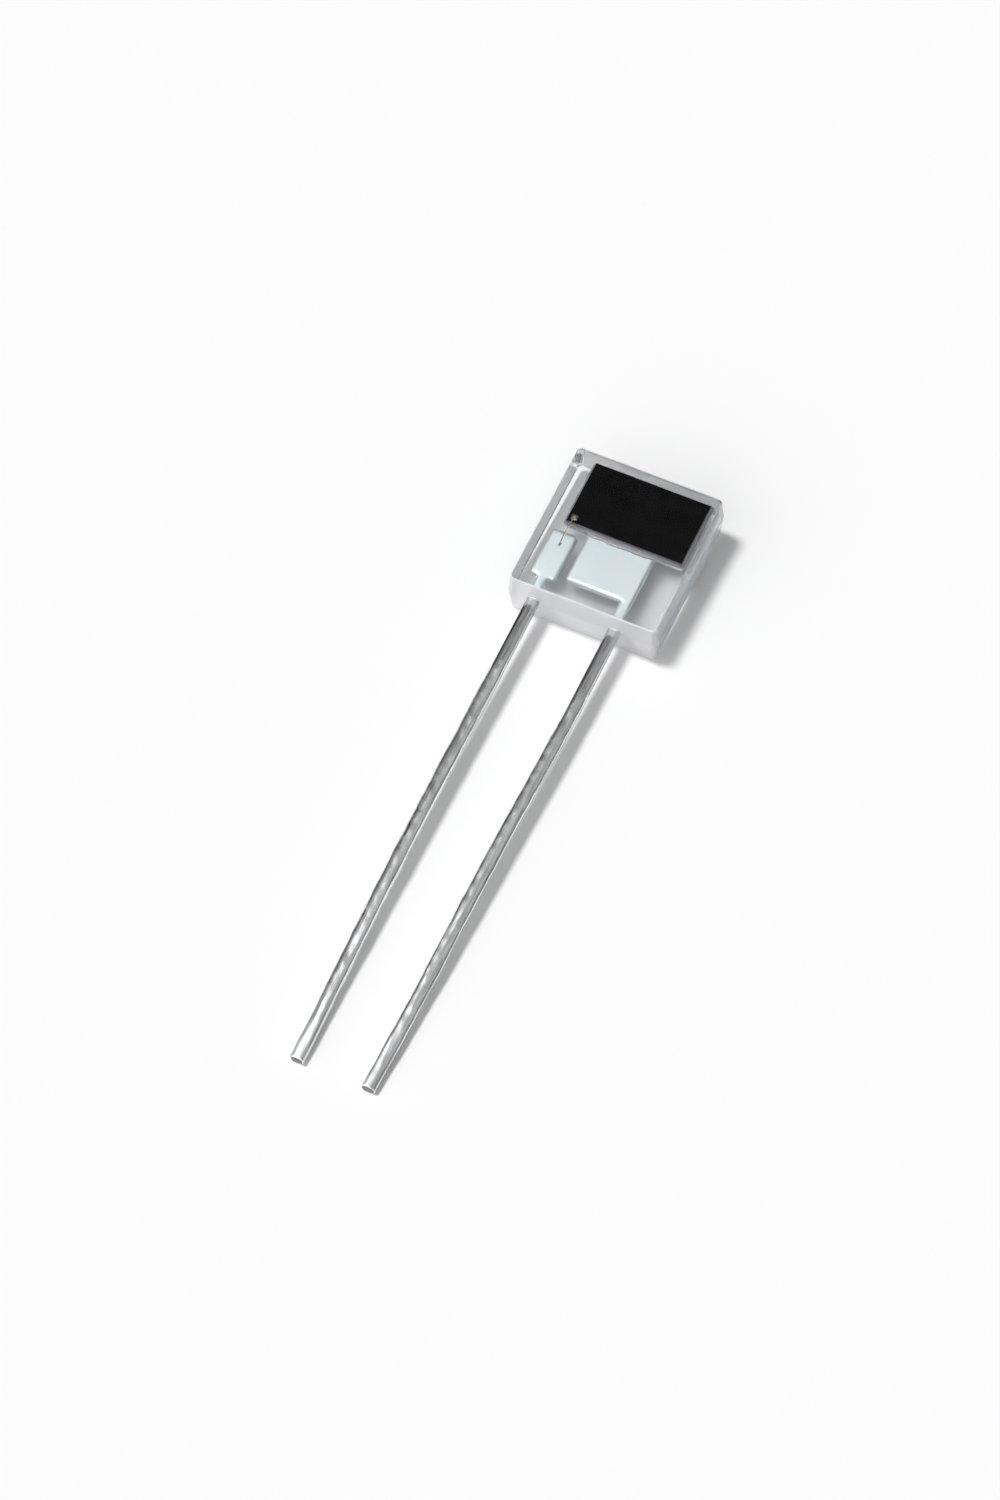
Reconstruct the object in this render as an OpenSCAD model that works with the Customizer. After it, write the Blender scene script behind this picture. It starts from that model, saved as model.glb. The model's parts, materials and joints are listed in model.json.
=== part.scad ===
// Infrared receiver: a flat, clear moulded photodiode with two straight leads.
// It lies face up, resting on the tips of its leads and on the lower back edge
// of its body. X runs across the body, and the leads point towards -Y.

/* [Body] */
// Width of the moulded body at its parting line
body_w = 4.7; // [4.2:0.1:6]
// Height of the body from the lead side to the far side, at its parting line
body_h = 5; // [4.2:0.1:7]
// Thickness of the body from its back to its front window
body_t = 1.6; // [1.2:0.1:3]
// Mould draft of the walls on each side of the parting line, in degrees
draft_angle = 5; // [1:0.5:8]
// Radius of the four upright corners at the back of the body
corner_r = 0.12; // [0.04:0.02:0.4]

/* [Leads] */
// Distance between the centres of the two leads where they leave the body
lead_pitch = 2.54; // [2:0.02:3]
// Offset of the pair of leads from the middle of the body
lead_shift = -0.24; // [-0.4:0.02:0.3]
// Length of each lead from the body to its cut tip
lead_length = 16; // [8:0.5:28]
// Width of the bare lead strip
lead_w = 0.36; // [0.3:0.02:0.6]
// Thickness of the lead frame's sheet
lead_t = 0.3; // [0.2:0.02:0.5]
// Lean of each lead towards the other, in degrees
lead_lean = 0.75; // [0:0.05:2]
// Depth of the lead frame's front surface below the front window
lead_depth = 0.55; // [0.45:0.05:0.8]
// Bare length of each lead between the body and its solder coat
bare_length = 2.2; // [1:0.1:4]
// Thickness of the solder coat
solder_coat = 0.025; // [0.01:0.005:0.06]
// Rounding that the solder gives to the long edges of the leads
solder_edge_r = 0.08; // [0.04:0.01:0.12]

/* [Lead frame] */
// Margin of the chip pad beyond the chip on each side
pad_margin = 0.06; // [0.04:0.01:0.1]
// Height of the neck's lower edge above the lead side of the body
neck_rise = 0.84; // [0.4:0.02:1.6]
// Width of the bond post
post_w = 0.8; // [0.5:0.02:0.95]
// Height of the bond post's lower edge above the lead side of the body
post_rise = 0.66; // [0.4:0.02:1.2]
// Gap stamped out between the bond post and the chip pad with its neck
post_gap = 0.22; // [0.1:0.02:0.4]
// Rounding of the lead frame's stamped corners
stamp_r = 0.1; // [0.05:0.01:0.16]

/* [Chip] */
// Width of the silicon chip
chip_w = 3.66; // [2.6:0.02:3.8]
// Height of the silicon chip
chip_h = 2.16; // [1.2:0.02:2.8]
// Thickness of the silicon chip
chip_t = 0.2; // [0.1:0.02:0.24]
// Clear epoxy between the chip and the right hand wall, at the parting line
chip_side_cover = 0.34; // [0.24:0.02:0.4]
// Clear epoxy between the chip and the far wall, at the parting line
chip_far_cover = 0.26; // [0.24:0.02:0.6]
// Thickness of the conductive adhesive under the chip
adhesive_t = 0.03; // [0.02:0.01:0.05]
// Spread of the adhesive beyond the chip on each side
adhesive_spread = 0.03; // [0.01:0.01:0.05]

/* [Bond wire] */
// Diameter of the bond wire
wire_d = 0.036; // [0.025:0.001:0.045]
// Rise of the wire's arch above the straight line between its two bonds
wire_rise = 0.19; // [0.14:0.01:0.22]
// Diameter of the ball bond on the chip
ball_d = 0.11; // [0.08:0.01:0.14]
// Height of the ball bond
ball_h = 0.04; // [0.03:0.005:0.06]
// Distance of the ball bond's centre from the two nearest edges of the chip
ball_inset = 0.2; // [0.12:0.02:0.4]
// Distance of the wire's foot from the far edge of the bond post
foot_inset = 0.45; // [0.3:0.05:0.8]
// Length of the flattened foot of the wire
foot_length = 0.14; // [0.1:0.01:0.2]
// Width of the flattened foot of the wire
foot_w = 0.08; // [0.06:0.01:0.12]
// Height of the flattened foot of the wire
foot_h = 0.03; // [0.025:0.005:0.04]

/* [Hidden] */
$fn = 48;

// Length by which one shape runs into another that it is joined to
overlap = 0.3;

// Levels above the back of the body
frame_front = body_t - lead_depth;
frame_back = frame_front - lead_t;
part_z = frame_back + lead_t / 2;
chip_back = frame_front + adhesive_t;
chip_front = chip_back + chip_t;

// How far the draft pulls the back and the front faces in from the parting line
back_inset = part_z * tan(draft_angle);
front_inset = (body_t - part_z) * tan(draft_angle);

// Places across the body
cathode_x = lead_shift + lead_pitch / 2;
anode_x = lead_shift - lead_pitch / 2;
neck_right = cathode_x + lead_w / 2;
post_left = anode_x - post_w / 2;
post_right = anode_x + post_w / 2;
neck_left = post_right + post_gap;
chip_right = body_w / 2 - chip_side_cover;
chip_left = chip_right - chip_w;

// Places along the body, from its lead side
chip_far = body_h - chip_far_cover;
chip_near = chip_far - chip_h;
pad_near = chip_near - pad_margin;
post_far = pad_near - post_gap;

// Section of a lead with its solder coat
coated_w = lead_w + 2 * solder_coat;
coated_t = lead_t + 2 * solder_coat;
coated_back = frame_back - solder_coat;

// The wire runs from a foot in the middle of the bond post to a ball at the chip's corner
foot = [anode_x, post_far - foot_inset];
ball = [chip_left + ball_inset, chip_near + ball_inset];
wire_run = ball - foot;
wire_heading = atan2(wire_run[1], wire_run[0]);

// Its arch is an arc, drawn upright as [distance along the wire's run, height]
arch_start = [0, frame_front + foot_h];
arch_end = [norm(wire_run), chip_front + ball_h / 2];
arch_rise = arch_end - arch_start;
arch_slope = atan2(arch_rise[1], arch_rise[0]);
arch_r = (norm(arch_rise) * norm(arch_rise) / 4 + wire_rise * wire_rise) / (2 * wire_rise);
arch_sweep = 2 * asin(norm(arch_rise) / (2 * arch_r));

// At rest the lower back edge of the body and the two lead tips touch the table
rest_tilt = atan(coated_back / (lead_length + back_inset));
far_y = max((body_h - back_inset) * cos(rest_tilt) - part_z * sin(rest_tilt),
            (body_h - 2 * back_inset) * cos(rest_tilt));
tip_y = -(lead_length + back_inset) * cos(rest_tilt) - (coated_back + coated_t) * sin(rest_tilt);

// Lays a piece that is drawn flat on its back down as it rests, centred on the origin
module as_it_lies() {
    translate([0, -(far_y + tip_y) / 2, 0])
        rotate([rest_tilt, 0, 0])
            translate([0, -back_inset, 0])
                children();
}

// Rectangle between two corners
module rectangle(low, high) {
    translate(low)
        square(high - low);
}

// Rectangle between two corners, with all four corners rounded
module rounded_rectangle(low, high, r) {
    rectangle(low + [r, 0], high - [r, 0]);
    rectangle(low + [0, r], high - [0, r]);
    for (x = [low[0] + r, high[0] - r], y = [low[1] + r, high[1] - r])
        translate([x, y])
            circle(r = r);
}

// Edge of a drafted shape that reaches out by reach at the parting line, as [out, z] points
function drafted_edge(reach) = [
    [reach - back_inset, 0],
    [reach, part_z],
    [reach - front_inset, body_t]
];

// Section of the body between two like drafted walls
module drafted_section(reach) {
    right = drafted_edge(reach);
    left = [for (i = [2:-1:0]) [-right[i][0], right[i][1]]];
    polygon(concat(right, left));
}

// The body as if it were solid: two crossed slabs with drafted ends, and a double cone
// that rounds each corner
module body_block() {
    part_r = corner_r + back_inset;
    straight_w = body_w - 2 * part_r;
    straight_h = body_h - 2 * part_r;
    translate([0, body_h / 2, 0]) {
        translate([0, straight_h / 2, 0])
            rotate([90, 0, 0])
                linear_extrude(height = straight_h)
                    drafted_section(body_w / 2);
        translate([-straight_w / 2, 0, 0])
            rotate([90, 0, 90])
                linear_extrude(height = straight_w)
                    drafted_section(body_h / 2);
        for (x = [-straight_w / 2, straight_w / 2], y = [-straight_h / 2, straight_h / 2])
            translate([x, y, 0])
                rotate_extrude()
                    polygon(concat([[0, 0]], drafted_edge(part_r), [[0, body_t]]));
    }
}

// Outline of the bare strip of one lead, from far, inside the body, to inside its solder coat.
// side is +1 for a lead that leans towards +X, and -1 for one that leans towards -X.
module strip_outline(x, far, side) {
    length = bare_length + overlap;
    shift = side * length * tan(lead_lean);
    polygon([
        [x - lead_w / 2, far], [x - lead_w / 2, 0],
        [x - lead_w / 2 + shift, -length], [x + lead_w / 2 + shift, -length],
        [x + lead_w / 2, 0], [x + lead_w / 2, far]
    ]);
}

// Solder coated length of one lead, whose long edges the solder rounds
module coated_length(x, side) {
    half = [coated_w, coated_t] / 2;
    translate([x + side * bare_length * tan(lead_lean), -bare_length, part_z])
        rotate([90, 0, side * lead_lean])
            linear_extrude(height = (lead_length - bare_length) / cos(lead_lean))
                rounded_rectangle(-half, half, solder_edge_r);
}

// Lead, neck and chip pad, stamped from one strip and then dipped
module cathode_shape() {
    translate([0, 0, frame_back])
        linear_extrude(height = lead_t) {
            strip_outline(cathode_x, neck_rise + overlap, -1);
            rounded_rectangle([neck_left, neck_rise], [neck_right, pad_near + overlap], stamp_r);
            rounded_rectangle([chip_left - pad_margin, pad_near],
                              [chip_right + pad_margin, chip_far + pad_margin], stamp_r);
        }
    coated_length(cathode_x, -1);
}

// Lead and bond post, stamped from one strip and then dipped
module anode_shape() {
    translate([0, 0, frame_back])
        linear_extrude(height = lead_t) {
            strip_outline(anode_x, post_rise + overlap, 1);
            rounded_rectangle([post_left, post_rise], [post_right, post_far], stamp_r);
        }
    coated_length(anode_x, 1);
}

// Thin layer between the chip and its pad, squeezed out a little all round
module adhesive_shape() {
    spread = [adhesive_spread, adhesive_spread];
    translate([0, 0, frame_front])
        linear_extrude(height = adhesive_t)
            rectangle([chip_left, chip_near] - spread, [chip_right, chip_far] + spread);
}

module chip_shape() {
    translate([0, 0, chip_back])
        linear_extrude(height = chip_t)
            rectangle([chip_left, chip_near], [chip_right, chip_far]);
}

// Flattened foot on the bond post, arch, and ball on the chip
module wire_shape() {
    translate([foot[0], foot[1], 0])
        rotate([0, 0, wire_heading]) {
            translate([-foot_length / 2, -foot_w / 2, frame_front])
                cube([foot_length, foot_w, foot_h]);
            rotate([90, 0, 0])
                translate((arch_start + arch_end) / 2)
                    rotate([0, 0, arch_slope + 90])
                        translate([wire_rise - arch_r, 0])
                            rotate([0, 0, -arch_sweep / 2])
                                rotate_extrude(angle = arch_sweep)
                                    translate([arch_r, 0])
                                        circle(d = wire_d);
        }
    translate([ball[0], ball[1], chip_front])
        cylinder(d = ball_d, h = ball_h);
}

// Clear epoxy, moulded round everything that lies inside it
module epoxy_body() {
    color([0.86, 0.88, 0.92, 0.35])
        difference() {
            body_block();
            cathode_shape();
            anode_shape();
            adhesive_shape();
            chip_shape();
            wire_shape();
        }
}

module cathode_lead() {
    color([0.78, 0.79, 0.78])
        cathode_shape();
}

module anode_lead() {
    color([0.78, 0.79, 0.78])
        anode_shape();
}

module photodiode_chip() {
    color([0.03, 0.03, 0.035])
        chip_shape();
}

module chip_adhesive() {
    color([0.62, 0.62, 0.6])
        adhesive_shape();
}

module bond_wire() {
    color([0.83, 0.68, 0.35])
        wire_shape();
}

as_it_lies() epoxy_body();
as_it_lies() cathode_lead();
as_it_lies() anode_lead();
as_it_lies() photodiode_chip();
as_it_lies() chip_adhesive();
as_it_lies() bond_wire();
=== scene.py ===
"""A clear infrared receiver lying face up on a white table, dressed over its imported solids.

Lengths are in millimetres in the frame of the receiver's drawing: X runs across the body, Y from the wall
that the leads leave to the far wall, and Z from the back face to the window. LyingFrame puts them on the
table.
"""

import json
import logging
import math
from dataclasses import asdict, dataclass
from enum import Enum
from functools import cache

import bpy
import numpy as np
from mathutils import Matrix, Vector


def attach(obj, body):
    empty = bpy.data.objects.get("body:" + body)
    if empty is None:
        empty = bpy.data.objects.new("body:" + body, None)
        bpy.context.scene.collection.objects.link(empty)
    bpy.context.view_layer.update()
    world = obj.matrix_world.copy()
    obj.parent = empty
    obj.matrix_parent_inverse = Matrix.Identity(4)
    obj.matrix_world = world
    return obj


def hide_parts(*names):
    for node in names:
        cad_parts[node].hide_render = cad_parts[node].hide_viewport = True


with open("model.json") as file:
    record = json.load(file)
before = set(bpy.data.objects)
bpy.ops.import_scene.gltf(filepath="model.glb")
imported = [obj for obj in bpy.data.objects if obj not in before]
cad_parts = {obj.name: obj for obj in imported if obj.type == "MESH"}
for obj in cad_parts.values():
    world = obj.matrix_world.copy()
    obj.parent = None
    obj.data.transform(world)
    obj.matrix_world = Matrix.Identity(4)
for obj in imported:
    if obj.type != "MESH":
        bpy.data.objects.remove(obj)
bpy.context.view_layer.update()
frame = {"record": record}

LOG = logging.getLogger("receiver")
MM = 0.001
QUARTER = math.pi / 2

Span = tuple[float, float]
Direction = tuple[float, float, float]
Colour = tuple[float, float, float, float]
Array = np.ndarray
Profile = tuple[Array, Array]
Socket = bpy.types.NodeSocket
Materials = list[bpy.types.Material]


class Side(Enum):
    """Which way a lead leans towards the middle of the body."""

    TOWARDS_RIGHT = 1
    TOWARDS_LEFT = -1


@dataclass(frozen=True)
class LyingFrame:
    """The drawing's frame as the receiver lies on the table.

    Attributes:
        origin: place of the drawing's origin, in metres.
        across: direction of the drawing's X.
        along: direction of the drawing's Y.
        up: direction of the drawing's Z.
    """

    origin: Array
    across: Array
    along: Array
    up: Array

    @classmethod
    def from_record(cls, record: dict, body_length: float) -> "LyingFrame":
        """Finds the frame from the record's two face mounts.

        The back mount is in the middle of the back face, so the origin is half the body's length before it.

        Args:
            record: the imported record.
            body_length: length of the body along the leads.

        Returns:
            The frame in which the receiver lies.
        """
        mounts = {mount["name"]: mount for mount in record["mounts"]}
        up = np.array(mounts["front_window"]["axis"], float)
        up /= np.linalg.norm(up)
        across = np.array([1.0, 0.0, 0.0])
        along = np.cross(up, across)
        middle = np.array(mounts["back_face"]["pos_m"], float)
        return cls(middle - along * body_length / 2 * MM, across, along, up)

    def place(self, points: Array) -> Array:
        """Turns drawing points into row points: the origin plus each length along its own direction."""
        return self.origin + MM * (points @ np.stack([self.across, self.along, self.up]))


@dataclass
class Shell:
    """A closed surface of rings.

    Attributes:
        points: the points, three numbers each.
        faces: index arrays, each with the faces of one number of corners.
        finishes: for each array of faces, the number of the finish that it takes.
    """

    points: Array
    faces: list[Array]
    finishes: list[int]

    @classmethod
    def from_rings(cls, rings: Array, finish: int = 0, last_cap: int | None = None) -> "Shell":
        """Joins each ring to the next by four-cornered faces and closes both ends with a flat face.

        Args:
            rings: rings by points by three. Each ring turns right-handed about the way that the rings go.
            finish: number of the finish.
            last_cap: number of the finish on the last ring's face, if it is another one.

        Returns:
            The closed surface, with its faces outwards.
        """
        count, around, _ = rings.shape
        here = np.arange(count * around).reshape(count, around)
        after = np.roll(here, -1, axis=1)
        sides = np.stack([here[:-1], after[:-1], after[1:], here[1:]], -1).reshape(-1, 4)
        caps = [here[:1, ::-1], here[-1:]]
        cap_finish = finish if last_cap is None else last_cap
        return cls(rings.reshape(-1, 3), [sides, *caps], [finish, finish, cap_finish])


def rounded_rectangles(
    half_width: Array, half_height: Array, radius: Array, steps: int
) -> Array:
    """Rounded rectangles about the origin, one for each entry, with a quarter circle at each corner.

    Args:
        half_width: half widths.
        half_height: half heights.
        radius: corner radii.
        steps: steps in each quarter circle.

    Returns:
        Rectangles by points by two, anticlockwise from the right end of the upper right corner.
    """
    angle = (np.arange(4)[:, None] * QUARTER + np.linspace(0, QUARTER, steps + 1)).ravel()
    side_x = np.repeat([1, -1, -1, 1], steps + 1)
    side_y = np.repeat([1, 1, -1, -1], steps + 1)
    sizes = (half_width, half_height, radius)
    half_width, half_height, radius = (np.asarray(size, float)[..., None] for size in sizes)
    x = side_x * (half_width - radius) + radius * np.cos(angle)
    y = side_y * (half_height - radius) + radius * np.sin(angle)
    return np.stack([x, y], -1)


def stacked(flat: Array, heights: Array) -> Array:
    """Puts flat rings, by points by two, at their heights."""
    level = np.broadcast_to(heights[:, None, None], (*flat.shape[:2], 1))
    return np.concatenate([flat, level], -1)


def plate(size: Span, centre: Array, corner: float, profile: Profile, steps: int) -> Array:
    """Stacks a rounded rectangle, with its sides and corners moved outwards by an offset at each height.

    Args:
        size: width and length where the offset is none.
        centre: X and Y of the middle.
        corner: radius of the corners where the offset is none.
        profile: the offsets and the heights.
        steps: steps in each corner.

    Returns:
        Rings by points by three.
    """
    offsets, heights = profile
    half_width, half_length = (side / 2 + offsets for side in size)
    return stacked(rounded_rectangles(half_width, half_length, corner + offsets, steps) + centre, heights)


def evenly_spaced(ring: Array, count: int) -> Array:
    """Points at equal steps along a closed ring, found by its running length.

    Args:
        ring: points by three.
        count: number of points wanted.

    Returns:
        The new points, from the ring's first point.
    """
    closed = np.concatenate([ring, ring[:1]])
    length = np.concatenate([[0], np.linalg.norm(np.diff(closed, axis=0), axis=1).cumsum()])
    at = np.linspace(0, length[-1], count, endpoint=False)
    return np.stack([np.interp(at, length, closed[:, axis]) for axis in range(3)], -1)


def filleted_outline(corners: Array, radii: Array, steps: int) -> Array:
    """Rounds each corner of an outline by an arc that touches both of its sides.

    The arc's centre is on the line that halves the corner, at the radius over the sine of half its angle.

    Args:
        corners: corners by two, anticlockwise.
        radii: a radius for each corner.
        steps: steps in each arc.

    Returns:
        Points by two, anticlockwise.
    """
    back = np.roll(corners, 1, axis=0) - corners
    ahead = np.roll(corners, -1, axis=0) - corners
    back /= np.linalg.norm(back, axis=1, keepdims=True)
    ahead /= np.linalg.norm(ahead, axis=1, keepdims=True)
    opening = np.arccos(np.clip((back * ahead).sum(1), -1, 1))
    middle = back + ahead
    middle /= np.linalg.norm(middle, axis=1, keepdims=True)
    centre = corners + middle * (radii / np.sin(opening / 2))[:, None]
    first = corners + back * (radii / np.tan(opening / 2))[:, None] - centre
    turn = np.sign(ahead[:, 0] * back[:, 1] - ahead[:, 1] * back[:, 0])
    sweep = (turn * (math.pi - opening))[:, None] * np.linspace(0, 1, steps + 1)
    angle = np.arctan2(first[:, 1], first[:, 0])[:, None] + sweep
    arcs = centre[:, None] + radii[:, None, None] * np.stack([np.cos(angle), np.sin(angle)], -1)
    return arcs.reshape(-1, 2)


def offset_rings(outline: Array, offsets: Array, heights: Array) -> Array:
    """Stacks an outline, moving it outwards by an offset at each height.

    A point moves along the mean of its two sides' normals, far enough that both sides move by the offset.

    Args:
        outline: points by two, anticlockwise.
        offsets: distance outwards at each ring.
        heights: Z of each ring.

    Returns:
        Rings by points by three.
    """
    side = np.roll(outline, -1, axis=0) - outline
    side /= np.linalg.norm(side, axis=1, keepdims=True)
    normal = np.stack([side[:, 1], -side[:, 0]], -1)
    mean = normal + np.roll(normal, 1, axis=0)
    mean /= np.linalg.norm(mean, axis=1, keepdims=True)
    reach = mean / (mean * normal).sum(1, keepdims=True)
    return stacked(outline + reach * offsets[:, None, None], heights)


def round_edges(low: float, high: float, edge: Span, steps: int) -> Profile:
    """Profile of a plate with rounded edges: a quarter ellipse at its lower edge and one at its upper edge.

    Args:
        low: Z of the lower face.
        high: Z of the upper face.
        edge: how far each ellipse comes in over the face, and how far down the side.
        steps: steps in each quarter ellipse.

    Returns:
        The offsets from the plate's outline, and the heights.
    """
    reach, rise = edge
    angle = np.linspace(0, QUARTER, steps + 1)
    offsets = reach * np.concatenate([np.sin(angle), np.cos(angle)]) - reach
    heights = np.concatenate([low + rise - rise * np.cos(angle), high - rise + rise * np.sin(angle)])
    return offsets, heights


def ripple(along: Array, around: Array, seed: int, lengths: Span) -> Array:
    """Soft lumps on a tube: a sum of waves along and around it, the shorter ones lower.

    Args:
        along: distance along the tube.
        around: angle round the tube.
        seed: number that picks the waves.
        lengths: lengths of the longest and the shortest wave.

    Returns:
        Heights from about -1 to 1.
    """
    count = 9
    most_turns = 3
    gain = 1.6
    draw = np.random.default_rng(seed)
    length = np.geomspace(*lengths, count)
    turns = draw.integers(0, most_turns + 1, count)
    start = draw.uniform(0, 2 * math.pi, count)
    share = np.sqrt(length / lengths[0])
    wave = np.sin(2 * math.pi * along[..., None] / length + turns * around[..., None] + start)
    return (wave * share).sum(-1) / share.sum() * gain


class NodeSheet:
    """Writes the nodes of one shader tree."""

    def __init__(self, tree: bpy.types.NodeTree) -> None:
        """Takes the tree and empties it."""
        self.tree = tree
        tree.nodes.clear()

    def add(self, kind: str, settings: dict | None = None, **inputs: object) -> bpy.types.Node:
        """Adds a node.

        Args:
            kind: Blender's name for the node, without its first word.
            settings: the node's own properties.
            **inputs: values or outputs for its inputs, with _ for a space, or in0, in1 and so on by number.

        Returns:
            The node.
        """
        node = self.tree.nodes.new("ShaderNode" + kind)
        for name, value in (settings or {}).items():
            setattr(node, name, value)
        for name, value in inputs.items():
            numbered = name[:2] == "in" and name[2:].isdigit()
            socket = node.inputs[int(name[2:]) if numbered else name.replace("_", " ")]
            if isinstance(value, Socket):
                self.tree.links.new(value, socket)
            else:
                socket.default_value = value
        return node

    def combine(self, operation: str, first: Socket | float, second: Socket | float) -> Socket:
        """Combines two numbers by a named operation."""
        return self.add("Math", {"operation": operation}, in0=first, in1=second).outputs[0]

    def towards(self, way: Socket, target: Direction) -> Socket:
        """How nearly a direction points at a target: their dot product."""
        return self.add("VectorMath", {"operation": "DOT_PRODUCT"}, in0=way, in1=target).outputs["Value"]

    def change(self, value: Socket, over: tuple, ends: Span = (0.0, 1.0)) -> Socket:
        """Number that goes from one end to the other while a value goes over a span."""
        spans = {"From_Min": over[0], "From_Max": over[1], "To_Min": ends[0], "To_Max": ends[1]}
        return self.add("MapRange", Value=value, **spans).outputs["Result"]

    def spread(self, mask: Socket, ends: Span | float) -> Socket | float:
        """Number that goes from one end to the other by a mask, or a number that is the same all over."""
        return ends if isinstance(ends, float) else self.change(mask, (0.0, 1.0), ends)

    def colours(self, mask: Socket, low: Socket | Colour, high: Socket | Colour) -> Socket:
        """Colour from low to high by a mask."""
        return self.add("Mix", {"data_type": "RGBA"}, in0=mask, in6=low, in7=high).outputs[2]

    def numbers(self, mask: Socket, low: Socket | float, high: Socket | float) -> Socket:
        """Number from low to high by a mask."""
        return self.add("Mix", {"data_type": "FLOAT"}, in0=mask, in2=low, in3=high).outputs[0]

    def past(self, first: float, last: float) -> Socket:
        """Mask that goes from 0 to 1 between two places along the table, in metres."""
        place = self.add("SeparateXYZ", Vector=self.add("TexCoord").outputs["Object"])
        return self.change(place.outputs["Y"], (first, last))

    def relief(self, height: Socket, strength: float, depth: float) -> Socket:
        """Normal of a relief of that depth, in millimetres."""
        return self.add("Bump", Height=height, Strength=strength, Distance=depth * MM).outputs["Normal"]


@cache
def soft_noise() -> bpy.types.NodeTree:
    """Makes the noise that all finishes share, the first time that it is asked for.

    Returns:
        A node group that takes what a Grain holds, and gives the noise as a mask and as a height.
    """
    tree = bpy.data.node_groups.new("soft_noise", "ShaderNodeTree")
    for label in ("Across", "Along", "Low", "High", "Detail", "Roughness"):
        tree.interface.new_socket(label, in_out="INPUT", socket_type="NodeSocketFloat")
    for label in ("Mask", "Height"):
        tree.interface.new_socket(label, in_out="OUTPUT", socket_type="NodeSocketFloat")
    sheet = NodeSheet(tree)
    given = tree.nodes.new("NodeGroupInput").outputs
    across, along = (sheet.combine("DIVIDE", 1 / MM, given[label]) for label in ("Across", "Along"))
    stretch = sheet.add("CombineXYZ", X=across, Y=along, Z=across).outputs[0]
    place = sheet.add("TexCoord").outputs["Object"]
    drawn = sheet.add("VectorMath", {"operation": "MULTIPLY"}, in0=place, in1=stretch).outputs[0]
    layers = {"Detail": given["Detail"], "Roughness": given["Roughness"]}
    height = sheet.add("TexNoise", Vector=drawn, Scale=1.0, **layers).outputs["Fac"]
    result = tree.nodes.new("NodeGroupOutput").inputs
    tree.links.new(sheet.change(height, (given["Low"], given["High"])), result["Mask"])
    tree.links.new(height, result["Height"])
    return tree


@dataclass(frozen=True)
class Grain:
    """Soft noise by which a finish changes.

    Attributes:
        across: size of the noise across the leads, in millimetres.
        along: its size along the leads.
        low: the noise that is 0 in the mask.
        high: the noise that is 1 in the mask.
        detail: number of finer layers.
        roughness: share of each finer layer.
    """

    across: float
    along: float
    low: float
    high: float
    detail: float = 2.0
    roughness: float = 0.5

    def put(self, sheet: NodeSheet) -> tuple[Socket, Socket]:
        """Places the noise.

        Args:
            sheet: nodes of the material.

        Returns:
            The noise's mask and its height.
        """
        values = {label.capitalize(): value for label, value in asdict(self).items()}
        noise = sheet.add("Group", {"node_tree": soft_noise()}, **values)
        return noise.outputs["Mask"], noise.outputs["Height"]


def cloudy(size: float, low: float, high: float) -> Grain:
    """Cloudy patches, of one size each way."""
    return Grain(size, size, low, high, detail=3.0, roughness=0.55)


def grey(level: float) -> Colour:
    """A grey of that level."""
    return (level, level, level, 1.0)


@dataclass(frozen=True)
class Finish:
    """A finish that several pieces may take.

    Attributes:
        name: name of the material.
    """

    name: str

    def make(self) -> bpy.types.Material:
        """Makes the material: one shader with the inputs of the finish.

        Returns:
            The material.
        """
        material = bpy.data.materials.new(self.name)
        material.use_nodes = True
        sheet = NodeSheet(material.node_tree)
        shader = sheet.add("BsdfPrincipled", **self.inputs(sheet))
        sheet.add("OutputMaterial", Surface=shader.outputs[0])
        return material

    def inputs(self, sheet: NodeSheet) -> dict[str, object]:
        """Finds the shader's inputs.

        Args:
            sheet: nodes of the material.

        Returns:
            A value or an output for each input that the finish sets.
        """
        raise NotImplementedError


@dataclass(frozen=True)
class CloudyFinish(Finish):
    """A finish that changes by cloudy patches.

    Attributes:
        name: name of the material.
        grain: the patches.
        ends: colours where the patches' mask is 0 and 1.
        gloss: roughness where it is 0 and 1, or one number.
        metal: how metallic it is, in the same way.
        shine: level of its plain reflection.
        relief: strength of its relief, and the relief's depth in millimetres.
    """

    grain: Grain
    ends: tuple[Colour, Colour]
    gloss: Span | float
    metal: Span | float = 0.0
    shine: float = 0.5
    relief: Span | None = None

    def inputs(self, sheet: NodeSheet) -> dict[str, object]:
        """Finds inputs that go from one end to the other by the patches.

        Args:
            sheet: nodes of the material.

        Returns:
            A value or an output for each input that the finish sets.
        """
        mask, height = self.grain.put(sheet)
        found = {
            "Base_Color": sheet.colours(mask, *self.ends),
            "Metallic": sheet.spread(mask, self.metal),
            "Roughness": sheet.spread(mask, self.gloss),
            "Specular_IOR_Level": self.shine,
        }
        if self.relief is not None:
            found["Normal"] = sheet.relief(height, *self.relief)
        return found


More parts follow.
